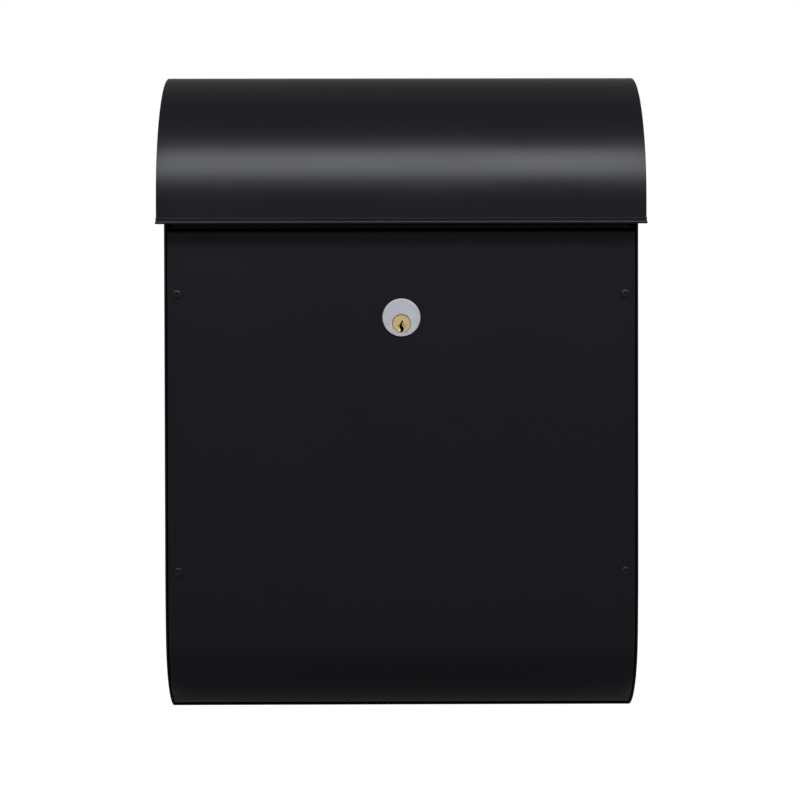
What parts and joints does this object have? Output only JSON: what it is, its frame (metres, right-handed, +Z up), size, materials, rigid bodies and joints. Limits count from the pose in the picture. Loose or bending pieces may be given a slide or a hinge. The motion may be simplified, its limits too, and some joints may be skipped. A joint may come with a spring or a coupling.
{
  "type": "wall mounted mailbox",
  "caption": "Wall mounted sheet-steel mailbox with a round hinged lid over a mail slot and a curved drop-down door with a key lock.",
  "frame": {"origin": "centre of the four wall screw holes, on the back face", "axes": "+Y into the wall, +Z up, +X to the right seen from the front"},
  "size_m": [0.3674, 0.1907, 0.4964],
  "materials": {
    "black_coat": "satin fine-texture powder coat",
    "black_rivet": "satin black",
    "zinc_steel": "zinc plated",
    "satin_chrome": "satin",
    "brass": "machined",
    "rubber": "matt",
    "nylon": "matt"
  },
  "bodies": {
    "housing": {"back_panel": "black_coat", "side_panel_right": "black_coat", "side_panel_left": "black_coat", "bottom_panel": "black_coat", "top_rail": "black_coat", "strike_plate": "black_coat", "strike_rivets": "black_rivet", "inlet_plate": "black_coat", "mail_baffle": "black_coat", "baffle_rivets": "black_rivet", "lid_hinge_rod": "zinc_steel", "lid_bumpers": "rubber", "door_bumpers": "rubber", "door_pivot_studs": "zinc_steel", "door_pivot_clips": "zinc_steel", "door_pivot_washers": "nylon", "door_stop_studs": "zinc_steel"},
    "door": {"door_panel": "black_coat", "door_bracket_right": "black_coat", "door_bracket_left": "black_coat", "door_rivets": "black_rivet", "lock_housing": "satin_chrome", "lock_nut": "zinc_steel", "driver_pins": "brass", "pin_springs": "zinc_steel", "chamber_cover": "brass"},
    "lock": {"lock_plug": "brass", "key_pins": "brass", "lock_cam": "zinc_steel", "cam_screw": "zinc_steel"},
    "lid": {"lid_shell": "black_coat", "lid_cheek_right": "black_coat", "lid_cheek_left": "black_coat", "lid_rim": "black_coat"}
  },
  "joints": [
    {"name": "lid_hinge", "type": "hinge", "parent": "housing", "child": "lid", "pos_m": [0, -0.0065, 0.21817], "axis": [-1, 0, 0], "range_deg": [0, 50]},
    {"name": "door_hinge", "type": "hinge", "parent": "housing", "child": "door", "pos_m": [0, -0.12486, -0.2268], "axis": [1, 0, 0], "range_deg": [0, 90]},
    {"name": "lock_turn", "type": "hinge", "parent": "door", "child": "lock", "pos_m": [0, -0.172, 0.05915], "axis": [0, 1, 0], "range_deg": [0, 90]}
  ]
}
